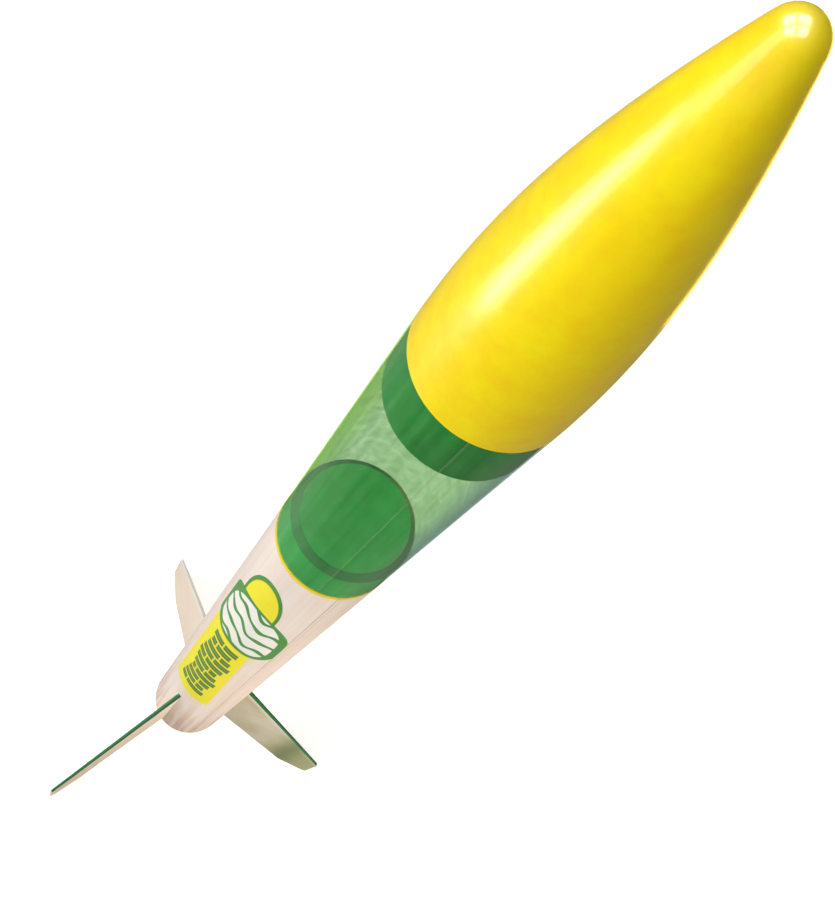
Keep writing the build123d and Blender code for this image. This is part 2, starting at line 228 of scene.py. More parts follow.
def shoulder_green():
    light, deep = srgb(20, 184, 84), srgb(8, 156, 68)
    return moulded_plastic("shoulder_green", light, deep, 0.35, 0.1).material


# The painted shade on the bevel reaches from the cup's top down to the bevel's foot.
BEVEL_DEPTH = 3.2 * MM       # from the cup's top down to the foot of its bevel
BEVEL_FADE = 0.2 * MM


def cup_green():
    """The cup's green, a brighter copy of the shoulder's as painted light, and darker on the bevel
    round its top as painted shade.
    """
    # A brighter copy of the shoulder's green plastic: painted light, making up for the shade the nose
    # casts on the cup.
    paint = moulded_plastic("cup_green", srgb(0, 222, 110), srgb(0, 188, 90), 0.4, 0.05)
    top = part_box("adapter_cup")[1].z
    plain = paint.shader.inputs["Base Color"].links[0].from_socket
    _, _, z = paint.axes()
    below = paint.math("SUBTRACT", top, z)
    past_top = paint.math("GREATER_THAN", below, 0.05 * MM)
    above_foot = paint.span(below, BEVEL_DEPTH + BEVEL_FADE, BEVEL_DEPTH)
    painted_bevel_shade = paint.math("MULTIPLY", past_top, above_foot)
    # Painted shade: the bevel darkened to a deeper green, for the dark reflection it shows.
    paint.colour(paint.mix(painted_bevel_shade, plain, srgb(0, 146, 72)))
    return paint.material


WELD_ASIDE = 9.8 * MM        # from the middle of the tube's face round to its welded edge
CLEAR_IOR = 1.49
FACE_ON_GLOSS = 0.045        # what Fresnel gives face on, which is taken off
MOST_GLOSS = 0.26
# The flank tints are painted light and shade: yellow-green on the key side, blue-grey on the other.
FLANK = 24 * MM, 42 * MM     # how far round the flanks' tints begin and are full
FLANK_BACK = 64 * MM, 50 * MM    # and how far round they have gone, and start to go


def clear_plastic():
    """Thin green-tinted sheet, rolled lengthwise: see-through, with draw lines and a gloss."""
    paint = Paint("clear_plastic", Roughness=0.06)
    around, z = paint.around(BAY_FACE_AZIMUTH)
    lines = paint.vector(paint.math("MULTIPLY", around, 260), paint.math("MULTIPLY", z, 4), 0)
    streak = paint.span(paint.noise(1.0, 5, 0.65, lines), 0.3, 0.72)
    paint.bump(streak, 0.000006)
    milk = clear_milk(paint, around, streak)
    share = paint.math("ADD", milk, clear_gloss(paint))
    milky = paint.math("DIVIDE", milk, paint.math("ADD", share, 0.001))
    paint.colour(paint.mix(milky, srgb(160, 196, 172), srgb(226, 230, 218)))
    clear = paint.nodes.new("ShaderNodeBsdfTransparent")
    paint.put(clear.inputs["Color"], clear_tint(paint, around, streak))
    both = paint.nodes.new("ShaderNodeMixShader")
    paint.put(both.inputs["Fac"], share)
    paint.put(both.inputs[1], clear.outputs["BSDF"])
    paint.put(both.inputs[2], paint.shader.outputs["BSDF"])
    paint.put(paint.nodes["Material Output"].inputs["Surface"], both.outputs["Shader"])
    return paint.material


def clear_milk(paint, around, streak):
    """The share of light that the sheet scatters: its draw lines, faint clouding that grows towards
    the flanks as a painted sheen, and its weld.
    """
    cloud = paint.span(paint.noise(110, 5, 0.65, distortion=0.8), 0.4, 0.62)
    # Painted sheen: the clouding is faint on the face and grows towards the flanks.
    flank_sheen = paint.span(paint.math("ABSOLUTE", around), 30 * MM, 60 * MM, 0.015, 0.16)
    cloud_and_sheen = paint.math("MULTIPLY", cloud, flank_sheen)
    milk = paint.math("ADD", paint.math("MULTIPLY", streak, 0.03), cloud_and_sheen)
    weld = paint.math("ABSOLUTE", paint.math("SUBTRACT", around, WELD_ASIDE))
    return paint.math("ADD", milk, paint.span(weld, 0.4 * MM, 0.1 * MM, 0.0, 0.1))


def clear_gloss(paint):
    """The share of light that the sheet's outer face mirrors: none face on, more at a glance."""
    fresnel = paint.nodes.new("ShaderNodeFresnel")
    fresnel.inputs["IOR"].default_value = CLEAR_IOR
    glance = paint.math("SUBTRACT", fresnel.outputs["Fac"], FACE_ON_GLOSS)
    glance = paint.math("MINIMUM", paint.math("MAXIMUM", glance, 0.0), MOST_GLOSS)
    backfacing = paint.nodes.new("ShaderNodeNewGeometry").outputs["Backfacing"]
    return paint.math("MULTIPLY", glance, paint.math("SUBTRACT", 1.0, backfacing))


def clear_tint(paint, around, streak):
    """The colour of light let through: streaked, with a painted yellow-green light on one flank and a
    painted blue-grey shade on the other.
    """
    tint = paint.mix(streak, srgb(212, 230, 208), srgb(234, 243, 229))
    tint = paint.mix(painted_flank_band(paint, around, -1), tint, srgb(206, 238, 150))
    return paint.mix(painted_flank_band(paint, around, 1), tint, srgb(196, 214, 214))


def painted_flank_band(paint, around, side):
    """The flank of the tube to one side, fading out before and after: the mask of a painted flank
    tint.
    """
    out = paint.math("MULTIPLY", around, side)
    return paint.math("MULTIPLY", paint.span(out, *FLANK), paint.span(out, *FLANK_BACK))


def black_plastic():
    """Satin black moulding with a fine spark-eroded grain and rubbed, greyer high spots."""
    paint = Paint("black_plastic", Coat_Weight=0.1, Coat_Roughness=0.3)
    worn = paint.span(paint.noise(140, 5, 0.7), 0.55, 0.75)
    paint.colour(paint.mix(worn, srgb(26, 26, 28), srgb(58, 58, 60)))
    paint.rough(paint.span(paint.noise(300, 3, 0.5), 0.3, 0.7, 0.38, 0.6))
    paint.bump(paint.noise(2600, 2, 0.5), 0.00004)
    return paint.material


def steel():
    """Zinc-plated wire and turned washers, with draw marks and dull patches."""
    paint = Paint("steel", Metallic=1.0)
    drawn = paint.noise(1.0, 3, 0.5, paint.stretched(1800, 1800, 260))
    dull = paint.span(paint.noise(240, 4, 0.6), 0.4, 0.7)
    paint.colour(paint.mix(dull, srgb(214, 214, 210), srgb(176, 176, 172)))
    paint.rough(paint.math("ADD", paint.math("MULTIPLY", dull, 0.2), 0.18))
    paint.bump(drawn, 0.00003)
    return paint.material


# ---------------------------------------------------------------- paper, card and wood
def kraft(paint, scale=1.0):
    """Brown kraft paper: long pulp fibres and darker specks."""
    fibre = paint.noise(900 * scale, 6, 0.75, distortion=1.5)
    speck = paint.span(paint.noise(2200 * scale, 2, 0.5), 0.68, 0.76)
    brown = paint.mix(paint.span(fibre, 0.3, 0.7), srgb(196, 160, 116), srgb(170, 130, 88))
    return paint.mix(paint.math("MULTIPLY", speck, 0.6), brown, srgb(112, 80, 50)), fibre


def spiral_seam(paint, pitch, width):
    """1 on the edge of a tape wound round the tube with that pitch, else 0."""
    around, z = paint.around(0)
    turn = paint.math("DIVIDE", around, 2 * math.pi * TUBE_R)
    along = paint.math("ADD", paint.math("DIVIDE", z, pitch), turn)
    edge = paint.math("ABSOLUTE", paint.math("SUBTRACT", paint.math("FRACT", along), 0.5))
    return paint.span(edge, width / pitch, 0.0)


WHITE_SEAM = 92 * MM, 0.6 * MM   # pitch and width of a tape wound round the tube
KRAFT_SEAM = 34 * MM, 0.6 * MM
SOOT_TOP = 120 * MM
FACE_PAPER = 0.3 * MM            # the white layer's thickness, over brown card


def white_tube():
    """Glassine-faced spiral tube, kraft inside: a wound seam, a marking line and streaks."""
    paint = Paint("white_tube", Coat_Weight=0.2, Coat_Roughness=0.25)
    around, z = paint.around(MARKING_LINE_AZIMUTH)
    lines = paint.vector(paint.math("MULTIPLY", around, 210), paint.math("MULTIPLY", z, 6), 3.7)
    streak = paint.span(paint.noise(1.0, 5, 0.65, lines), 0.36, 0.7)
    cloud = paint.span(paint.noise(17, 3, 0.5), 0.38, 0.66)
    face = paint.mix(paint.math("MULTIPLY", streak, 0.6), srgb(255, 247, 240), srgb(238, 214, 202))
    face = paint.mix(paint.math("MULTIPLY", cloud, 0.3), face, srgb(248, 226, 208))
    soot = paint.span(z, SOOT_TOP, 0.0, 0.0, 0.8, smooth=True)
    sooty = paint.span(paint.noise(1.0, 4, 0.6, lines), 0.4, 0.66)
    soot = paint.math("MULTIPLY", soot, sooty)
    face = paint.mix(soot, face, srgb(206, 160, 138))
    seam = spiral_seam(paint, *WHITE_SEAM)
    face = paint.mix(paint.math("MULTIPLY", seam, 0.3), face, srgb(200, 186, 178))
    face = paint.mix(marking_line(paint, around), face, srgb(150, 138, 136))
    brown, fibre = kraft(paint)
    inside = paint.math("LESS_THAN", paint.radius(), TUBE_R - FACE_PAPER)
    paint.colour(paint.mix(inside, face, brown))
    paint.rough(paint.mix(inside, (0.34, 0.34, 0.34, 1), (0.8, 0.8, 0.8, 1)))
    pulp = paint.bump(fibre, 0.00002)
    paint.bump(seam, -0.00008, pulp)
    return paint.material


def marking_line(paint, around):
    """A fine line down the tube and a fainter one beside it, broken where the pencil skipped."""
    skip = paint.span(paint.noise(40, 3, 0.6), 0.35, 0.6, 0.35, 0.8)
    first = paint.span(paint.math("ABSOLUTE", around), 0.36 * MM, 0.16 * MM)
    aside = paint.math("ABSOLUTE", paint.math("SUBTRACT", around, 1.9 * MM))
    second = paint.span(aside, 0.34 * MM, 0.14 * MM, 0.0, 0.45)
    return paint.math("MULTIPLY", paint.math("MAXIMUM", first, second), skip)


def white_lug():
    """Rolled white paper, slightly fibrous."""
    paint = Paint("white_lug", Coat_Weight=0.15, Coat_Roughness=0.3)
    fibre = paint.noise(1100, 5, 0.7)
    paint.colour(paint.mix(paint.span(fibre, 0.3, 0.7), srgb(246, 240, 232), srgb(226, 214, 204)))
    paint.rough(paint.span(fibre, 0.3, 0.7, 0.4, 0.55))
    paint.bump(fibre, 0.00003)
    return paint.material


def kraft_tube():
    """Bare spiral kraft tube with a dark line on each winding."""
    paint = Paint("kraft_tube", Roughness=0.78)
    brown, fibre = kraft(paint)
    seam = spiral_seam(paint, *KRAFT_SEAM)
    paint.colour(paint.mix(paint.math("MULTIPLY", seam, 0.7), brown, srgb(110, 78, 50)))
    paint.bump(paint.math("SUBTRACT", fibre, seam), 0.00005)
    return paint.material


BOARD_PLY = 0.5 * MM
WOOD_PLY = 2 * MM


def ring_board():
    """Die-cut fibre board: mottled faces, and plies on the cut edge."""
    paint = Paint("ring_board", Roughness=0.85)
    _, _, z = paint.axes()
    brown, fibre = kraft(paint, 0.7)
    ply = paint.math("SINE", paint.math("MULTIPLY", z, 2 * math.pi / BOARD_PLY))
    paint.colour(paint.mix(paint.span(ply, 0.2, 0.9, 0.0, 0.35), brown, srgb(134, 100, 66)))
    paint.bump(fibre, 0.00006)
    return paint.material


def anchor_paper():
    """Folded cream card, creased here and there."""
    paint = Paint("anchor_paper", Roughness=0.7)
    fibre = paint.noise(800, 6, 0.7)
    crease = paint.span(paint.noise(90, 2, 0.4, distortion=2.0), 0.47, 0.5)
    paint.colour(paint.mix(paint.span(fibre, 0.3, 0.7), srgb(240, 236, 222), srgb(220, 214, 196)))
    normal = paint.bump(fibre, 0.00004)
    paint.bump(crease, 0.0001, normal)
    return paint.material


LABEL_SHARE = 0.6            # of the case's length
STRIPE_ASIDE = 16 * MM       # from the label's middle
STRIPE_HALF = 1.5 * MM
SCORCH_HEIGHT = 6 * MM


def motor_paper():
    """Rolled paper motor case: kraft, a pale label with two stripes, and a scorched lower end."""
    paint = Paint("motor_paper", Coat_Weight=0.2, Coat_Roughness=0.3, Roughness=0.55)
    low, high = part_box("motor_casing")
    _, _, z = paint.axes()
    brown, fibre = kraft(paint)
    middle = paint.math("ABSOLUTE", paint.math("SUBTRACT", z, (low.z + high.z) / 2))
    band = paint.math("LESS_THAN", middle, LABEL_SHARE / 2 * (high.z - low.z))
    face = paint.mix(band, brown, srgb(222, 216, 202))
    off_stripe = paint.math("ABSOLUTE", paint.math("SUBTRACT", middle, STRIPE_ASIDE))
    stripe = paint.math("LESS_THAN", off_stripe, STRIPE_HALF)
    face = paint.mix(stripe, face, srgb(30, 120, 62))
    scorch = paint.span(z, low.z + SCORCH_HEIGHT, low.z, 0.0, 0.8, smooth=True)
    paint.colour(paint.mix(scorch, face, srgb(52, 40, 32)))
    paint.bump(fibre, 0.00004)
    return paint.material


def plywood():
    """Birch plywood: long grain on the faces, and dark plies round the edge."""
    paint = Paint("plywood", Coat_Weight=0.1, Coat_Roughness=0.4, Roughness=0.6)
    _, _, z = paint.axes()
    grain = paint.noise(1.0, 5, 0.7, paint.stretched(50, 900, 900), 0.6)
    pore = paint.span(paint.noise(1.0, 2, 0.5, paint.stretched(160, 4200, 4200)), 0.62, 0.72)
    face = paint.mix(paint.span(grain, 0.3, 0.7), srgb(228, 196, 148), srgb(196, 156, 106))
    ply = paint.math("SINE", paint.math("MULTIPLY", z, 2 * math.pi / WOOD_PLY))
    face = paint.mix(paint.span(ply, 0.3, 0.6, 0.0, 0.3), face, srgb(150, 108, 66))
    paint.colour(paint.mix(paint.math("MULTIPLY", pore, 0.7), face, srgb(120, 84, 50)))
    paint.bump(grain, 0.00006)
    return paint.material


# Cream washes on the fins' faces; fin_right's darker olive one is painted shade, for the fin turned
# away from the key light.
FIN_WASH_AND_SHADE = {
    "fin_front": srgb(246, 232, 206),
    "fin_right": srgb(190, 184, 132),
    "fin_left": srgb(254, 234, 212),
}
GREEN_EDGED = ("fin_front", "fin_right")
# On fin_right, the middle and half-width of the painted reflection's darker patch.
REFLECTION_MIDDLE, REFLECTION_HALF = 0.7, 0.18     # shares of the way from the tube out to the tip


def fin_paint(node):
    """Painted balsa: washed cream faces, fin_right's darkened to olive as painted shade and given a
    painted green reflection, and a leading edge that is green on two of the fins, with painted shade
    on one side.
    """
    paint = Paint(node + "_paint", Coat_Weight=0.3, Coat_Roughness=0.15)
    azimuth = math.radians(FIN_AZIMUTHS[node])
    x, y, z = paint.axes()
    out_x = paint.math("MULTIPLY", x, math.cos(azimuth))
    out_y = paint.math("MULTIPLY", y, math.sin(azimuth))
    out = paint.math("ADD", out_x, out_y)
    run, rise, offset, far = leading_edge(node)
    along = paint.math("ADD", paint.math("MULTIPLY", out, run), paint.math("MULTIPLY", z, rise))
    across = paint.math("SUBTRACT", paint.math("MULTIPLY", out, rise), paint.math("MULTIPLY", z, run))
    behind = paint.math("ABSOLUTE", paint.math("SUBTRACT", offset, across))
    grain_at = paint.vector(paint.math("MULTIPLY", along, 60), paint.math("MULTIPLY", behind, 1300), 0)
    grain = paint.noise(1.0, 4, 0.6, grain_at, 0.3)
    cloud = paint.span(paint.noise(24, 3, 0.5), 0.35, 0.68, 0.45, 1.0)
    white = paint.mix(paint.span(grain, 0.3, 0.7), srgb(255, 253, 246), srgb(246, 240, 226))
    off_edge = paint.span(behind, 1.2 * MM, 6 * MM, 0.1, 0.9, smooth=True)
    face = paint.mix(paint.math("MULTIPLY", cloud, off_edge), white, FIN_WASH_AND_SHADE[node])
    if node == "fin_right":
        face = painted_green_reflection(paint, face, paint.span(out, TUBE_R, far))
    if node in GREEN_EDGED:
        face = green_edge(paint, face, grain, behind, paint.across(FIN_AZIMUTHS[node])[0])
    paint.colour(face)
    paint.rough(paint.span(grain, 0.3, 0.7, 0.3, 0.42))
    paint.bump(grain, 0.00003)
    return paint.material


def painted_green_reflection(paint, face, outward):
    """The face with a painted green reflection: an olive outer half and a darker patch, by its share
    of the way outward.
    """
    reflected_olive = paint.span(outward, 0.4, 0.7, 0.0, 0.6)
    face = paint.mix(reflected_olive, face, srgb(150, 164, 96))
    from_middle = paint.math("ABSOLUTE", paint.math("SUBTRACT", outward, REFLECTION_MIDDLE))
    reflection_patch = paint.span(from_middle, REFLECTION_HALF, 0.0, 0.0, 0.65, smooth=True)
    return paint.mix(reflection_patch, face, srgb(84, 116, 52))


def green_edge(paint, face, grain, behind, side):
    """The face with its leading edge green, and a painted shade darkening it towards one side."""
    green = paint.mix(paint.span(grain, 0.3, 0.7), srgb(18, 128, 60), srgb(8, 100, 44))
    # Painted shade: the edge's green deepens towards one side.
    green = paint.mix(paint.span(side, -0.2 * MM, 0.5 * MM), green, srgb(4, 74, 36))
    return paint.mix(paint.span(behind, 0.75 * MM, 0.45 * MM), face, green)


def leading_edge(node):
    """The fin's leading edge: its direction (out, up), its offset, and how far out the fin goes."""
    azimuth = math.radians(FIN_AZIMUTHS[node])
    ray = Vector((math.cos(azimuth), math.sin(azimuth), 0))
    points = [(v.co.dot(ray), v.co.z) for v in NODES[node].data.vertices]
    far = max(point[0] for point in points)
    top = max((p for p in points if abs(p[0] - TUBE_R) < 1.5 * MM), key=lambda p: p[1])
    tip = max((p for p in points if p[0] > far - 2 * MM), key=lambda p: p[1])
    length = math.hypot(tip[0] - top[0], tip[1] - top[1])
    out, up = (tip[0] - top[0]) / length, (tip[1] - top[1]) / length
    return out, up, top[0] * up - top[1] * out, far


# ---------------------------------------------------------------- printed stickers
def sticker(name):
    """A printed vinyl sticker's shader, with a faint grain in its relief."""
    paint = Paint(name, Coat_Weight=0.2, Coat_Roughness=0.15, Roughness=0.4, Specular_IOR_Level=0.2)
    paint.bump(paint.noise(700, 3, 0.6), 0.00001)
    return paint


def printed(paint, first, second, mask):
    """Two inks by a mask, each a little uneven, as printed."""
    ink = paint.span(paint.noise(120, 4, 0.6), 0.3, 0.75, 0.0, 0.12)
    paint.colour(paint.mix(ink, paint.mix(mask, first, second), srgb(190, 200, 110)))


BAR_PITCH = 12.0 * MM
BARS = 11.0
BARS_LEFT, BARS_RIGHT = 13.5 * MM, 10.5 * MM   # from the sticker's middle line
BARS_FOOT = 16 * MM          # from the panel's lower end


def panel_print():
    """A yellow panel with a ladder of plain green bars, split in places by pale gaps."""
    paint = sticker("panel_print")
    across, z = paint.across(DECAL_AZIMUTH)
    rung = paint.math("DIVIDE", paint.math("SUBTRACT", z, PANEL[0].z + BARS_FOOT), BAR_PITCH)
    number = paint.math("FLOOR", rung)
    place = paint.math("ABSOLUTE", paint.math("SUBTRACT", paint.math("FRACT", rung), 0.5))
    bar = paint.span(place, 0.39, 0.35)
    core = paint.span(place, 0.07, 0.03)
    mask = paint.math("MULTIPLY", bar, bar_limits(paint, across, rung, number))
    paler_core = paint.math("SUBTRACT", 1.0, paint.math("MULTIPLY", core, 0.4))
    mask = paint.math("MULTIPLY", mask, paler_core)
    mask = paint.math("MULTIPLY", mask, bar_gaps(paint, across, number))
    printed(paint, srgb(255, 246, 20), srgb(30, 124, 48), mask)
    return paint.material


def bar_limits(paint, across, rung, number):
    """1 between the ladder's two stepped sides and its two ends, else 0."""
    step_left = paint.math("MULTIPLY", paint.math("PINGPONG", number, 3.0), 1.0 * MM)
    step_right = paint.math("PINGPONG", paint.math("ADD", number, 1.0), 2.0)
    step_right = paint.math("MULTIPLY", step_right, 2.0 * MM)
    past_left = paint.math("GREATER_THAN", across, paint.math("SUBTRACT", step_left, BARS_LEFT))
    short_of_right = paint.math("LESS_THAN", across, paint.math("SUBTRACT", BARS_RIGHT, step_right))
    above_foot = paint.math("GREATER_THAN", rung, 0.0)
    ends = paint.math("MULTIPLY", above_foot, paint.math("LESS_THAN", rung, BARS))
    return paint.math("MULTIPLY", ends, paint.math("MULTIPLY", past_left, short_of_right))


def bar_gaps(paint, across, number):
    """1, or less in the gap that splits each bar, which shifts from one bar to the next."""
    shift = paint.math("PINGPONG", paint.math("MULTIPLY", number, 2.6), 4.0)
    shift = paint.math("MULTIPLY", shift, 2.6 * MM)
    gap = paint.math("ABSOLUTE", paint.math("ADD", paint.math("SUBTRACT", across, shift), 7 * MM))
    return paint.span(gap, 0.4 * MM, 0.8 * MM, 0.15, 1.0)


WAVE_FIELD = 18.2 * MM, 34 * MM  # half the width and half the height that the waves fill
WAVE_PITCH = 17 * MM


def band_print():
    """A green band with plain white waves across it."""
    paint = sticker("band_print")
    across, z = paint.across(DECAL_AZIMUTH)
    height = paint.math("SUBTRACT", z, (BAND[0].z + BAND[1].z) / 2)
    swing = paint.math("SINE", paint.math("MULTIPLY", across, 330.0))
    swing = paint.math("MULTIPLY", swing, 3.0 * MM)
    slope = paint.math("ADD", paint.math("MULTIPLY", across, 0.5), swing)
    rows = paint.math("DIVIDE", paint.math("ADD", height, slope), WAVE_PITCH)
    number = paint.math("FLOOR", rows)
    middle = paint.math("ABSOLUTE", paint.math("SUBTRACT", paint.math("FRACT", rows), 0.5))
    row_phase = paint.math("MULTIPLY", number, 2.1)
    phase = paint.math("ADD", paint.math("MULTIPLY", across, 560.0), row_phase)
    half = paint.math("ADD", paint.math("MULTIPLY", paint.math("SINE", phase), 0.065), 0.36)
    white = paint.span(paint.math("SUBTRACT", half, middle), -0.012, 0.012)
    white = paint.math("MULTIPLY", white, wave_field(paint, across, height))
    printed(paint, srgb(50, 150, 62), srgb(255, 255, 253), white)
    return paint.material


def wave_field(paint, across, height):
    """1 within the rounded, sagging field that the waves fill, and 0 on the green border."""
    aside = paint.math("ABSOLUTE", paint.math("ADD", across, -0.2 * MM))
    share = paint.math("DIVIDE", aside, WAVE_FIELD[0])
    sag = paint.math("MULTIPLY", paint.math("MULTIPLY", share, share), 9 * MM)
    up = paint.math("ADD", paint.math("ADD", height, sag), -1 * MM)
    up = paint.math("DIVIDE", paint.math("ABSOLUTE", up), WAVE_FIELD[1])
    rounded = paint.math("ADD", paint.math("POWER", share, 3.0), paint.math("POWER", up, 3.0))
    return paint.span(rounded, 1.0, 0.93)


DOME_HEIGHT = 37 * MM
DOME_ASIDE = -2.1 * MM       # the dome's middle from the sticker's


def tab_print():
    """A yellow dome inside a green outline."""
    paint = sticker("tab_print")
    across, z = paint.across(DECAL_AZIMUTH)
    half = (TAB[1].x - TAB[0].x) / 2
    aside = paint.math("DIVIDE", paint.math("SUBTRACT", across, DOME_ASIDE), half)
    aside = paint.math("ABSOLUTE", aside)
    up = paint.math("DIVIDE", paint.math("SUBTRACT", z, TAB[1].z - DOME_HEIGHT), DOME_HEIGHT)
    up = paint.math("MAXIMUM", up, 0.0)
    dome = paint.math("ADD", paint.math("POWER", aside, 2.0), paint.math("POWER", up, 2.0))
    rim = paint.span(dome, 0.72, 0.77)
    printed(paint, srgb(255, 244, 24), srgb(50, 146, 58), rim)
    return paint.material


# ---------------------------------------------------------------- motor fillings
def clay():
    """Pressed clay, gritty and sooted in patches."""
    paint = Paint("clay", Roughness=0.85)
    grit = paint.noise(900, 6, 0.7)
    soot = paint.span(paint.noise(160, 4, 0.6), 0.45, 0.7, 0.0, 0.6)
    face = paint.mix(grit, srgb(190, 178, 160), srgb(150, 138, 120))
    paint.colour(paint.mix(soot, face, srgb(88, 78, 68)))
    paint.bump(grit, 0.00012)
    return paint.material


def propellant():
    """Pressed black powder."""
    paint = Paint("propellant", Roughness=0.7)
    grit = paint.noise(1500, 5, 0.7)
    paint.colour(paint.mix(grit, srgb(34, 33, 34), srgb(82, 78, 76)))
    paint.bump(grit, 0.0001)
    return paint.material


# ---------------------------------------------------------------- soft pieces
def sheet_mesh(name, points):
    """A sheet from a grid of points, rows by columns by 3, as a new object."""
    rows, columns = points.shape[:2]
    index = np.arange(rows * columns).reshape(rows, columns)
    corners = (index[:-1, :-1], index[1:, :-1], index[1:, 1:], index[:-1, 1:])
    faces = np.stack([c.ravel() for c in corners], axis=1)
    mesh = bpy.data.meshes.new(name)
    mesh.from_pydata(points.reshape(-1, 3).tolist(), [], faces.tolist())
    uv = mesh.uv_layers.new(name="flat")
    down, along = np.linspace(0, 1, rows), np.linspace(0, 1, columns)
    share = np.stack(np.meshgrid(down, along, indexing="ij"), -1)
    corner_of = np.zeros(len(mesh.loops), np.int32)
    mesh.loops.foreach_get("vertex_index", corner_of)
    uv.data.foreach_set("uv", share.reshape(-1, 2)[corner_of].astype(np.float32).ravel())
    mesh.shade_smooth()
    piece = bpy.data.objects.new(name, mesh)
    bpy.context.scene.collection.objects.link(piece)
    return piece


def thicken(piece, thickness):
    """Gives a sheet its film's thickness, half on each side."""
    solid = piece.modifiers.new("film", "SOLIDIFY")
    solid.thickness = thickness
    solid.offset = 0.0


CANOPY_ACROSS = 0.610        # a 24 inch octagonal canopy, across its flats
OCTAGON_SHARE = 0.8284       # an octagon's area over its square's
CANOPY_AREA = OCTAGON_SHARE * CANOPY_ACROSS**2
CANOPY_GORES = 8
CANOPY_FILM = 0.06 * MM
ROLL_CORE = 2.4 * MM
ROLL_SHARE = 0.925           # the roll's radius over the CAD pack's
ROLL_END_GAP = 1.5 * MM
STEPS_PER_TURN = 34
ROLL_ROWS = 15


def rolled_canopy():
    """The plastic canopy, its gores folded together and rolled up from the middle."""
    low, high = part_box("parachute_pack")
    canopy = sheet_mesh("parachute_canopy", rolled_points(low, high))
    thicken(canopy, CANOPY_FILM)
    canopy.data.materials.append(canopy_film())
    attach(canopy, "root")
    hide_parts("parachute_pack")


def rolled_points(low, high):
    """The rolled canopy's points: a pleated spiral with a waist and ragged ends."""
    height = high.z - low.z - 2 * ROLL_END_GAP
    outer = (high.x - low.x) / 2 * ROLL_SHARE
    turns = CANOPY_AREA / height / (math.pi * (ROLL_CORE + outer))
    steps = int(turns * STEPS_PER_TURN)
    share = np.linspace(0, 1, steps)[:, None] * np.ones((1, ROLL_ROWS))
    level = np.ones((steps, 1)) * np.linspace(0, 1, ROLL_ROWS)[None, :]
    angle = 2 * np.pi * turns * share
    swell = 1 + 0.03 * np.sin(2 * angle + 2.2 * level) + 0.022 * np.sin(5 * angle - 6 * level)
    pleat = 0.02 * np.sin(9 * angle + 4 * np.sin(3 * level)) * share
    waist = 1 - 0.05 * np.exp(-(((level - 0.52) / 0.05) ** 2))
    radius = (ROLL_CORE + (outer - ROLL_CORE) * share) * (swell + pleat) * waist
    ragged = (np.sin(7.3 * angle) + 0.6 * np.sin(3.1 * angle + 1.3)) * 0.9 * MM
    at_ends = np.where(level > 0.5, -1, 1) * np.abs(2 * level - 1) ** 6
    z = low.z + ROLL_END_GAP + level * height + ragged * at_ends
    middle = (low + high) / 2
    x = middle.x + radius * np.cos(angle)
    y = middle.y + radius * np.sin(angle)
    return np.stack([x, y, z], axis=-1)


def canopy_film():
    """Thin printed polythene: yellow and green gores, creased where it was folded."""
    paint = Paint("canopy_film", Roughness=0.32)
    flat = paint.nodes.new("ShaderNodeUVMap")
    flat.uv_map = "flat"
    u, v, _ = paint.axes(flat.outputs["UV"])
    gore = paint.math("FRACT", paint.math("MULTIPLY", u, 3.0 * CANOPY_GORES))
    green = paint.math("LESS_THAN", gore, 0.42)
    cloud = paint.span(paint.noise(180, 4, 0.6), 0.3, 0.7)
    yellow = paint.mix(cloud, srgb(250, 222, 40), srgb(238, 196, 20))
    leaf = paint.mix(cloud, srgb(58, 150, 76), srgb(32, 122, 56))
    paint.colour(paint.mix(green, yellow, leaf))
    long_crease = paint.noise(1.0, 4, 0.6, paint.stretched(420, 420, 60), 1.2)
    first = paint.bump(long_crease, 0.0005)
    paint.bump(paint.noise(1300, 3, 0.5), 0.00008, first)
    return paint.material


WADDING_SHEETS = 4
WADDING_SIDE = 0.111         # a square of tissue, folded in three both ways
WADDING_FOLDS = 3
WADDING_STEPS = 61
TISSUE = 0.12 * MM


def accordion(length, panels, gap, steps):
    """A strip folded back and forth, panels a gap apart: each step's place across and height."""
    panel = length / panels
    s = np.linspace(0, length, steps)
    number = np.minimum((s / panel).astype(int), panels - 1)
    inside = s / panel - number
    across = np.where(number % 2 == 0, inside, 1 - inside) * panel - panel / 2
    rise = np.clip((s - panel * (number + 0.94)) / (0.12 * panel), 0, 0.5)
    rise += np.where(number > 0, np.clip((s - panel * (number - 0.06)) / (0.12 * panel), 0, 1) - 1, 0)
    return across, (number + rise) * gap


def folded_square(gap):
    """A square folded both ways, its layers that gap apart: x, y and the height above its foot."""
    across, lift = accordion(WADDING_SIDE, WADDING_FOLDS, gap, WADDING_STEPS)
    up, stack = accordion(WADDING_SIDE, WADDING_FOLDS, gap * WADDING_FOLDS, WADDING_STEPS)
    x = across[:, None] * np.ones((1, WADDING_STEPS))
    y = np.ones((WADDING_STEPS, 1)) * up[None, :]
    panel = np.arange(WADDING_STEPS)[None, :] * WADDING_FOLDS // WADDING_STEPS
    mirrored = np.where(panel % 2 == 1, -1, 1)
    turned_over = np.where(mirrored < 0, gap * (WADDING_FOLDS - 1), 0)
    return x, y, stack[None, :] + lift[:, None] * mirrored + turned_over


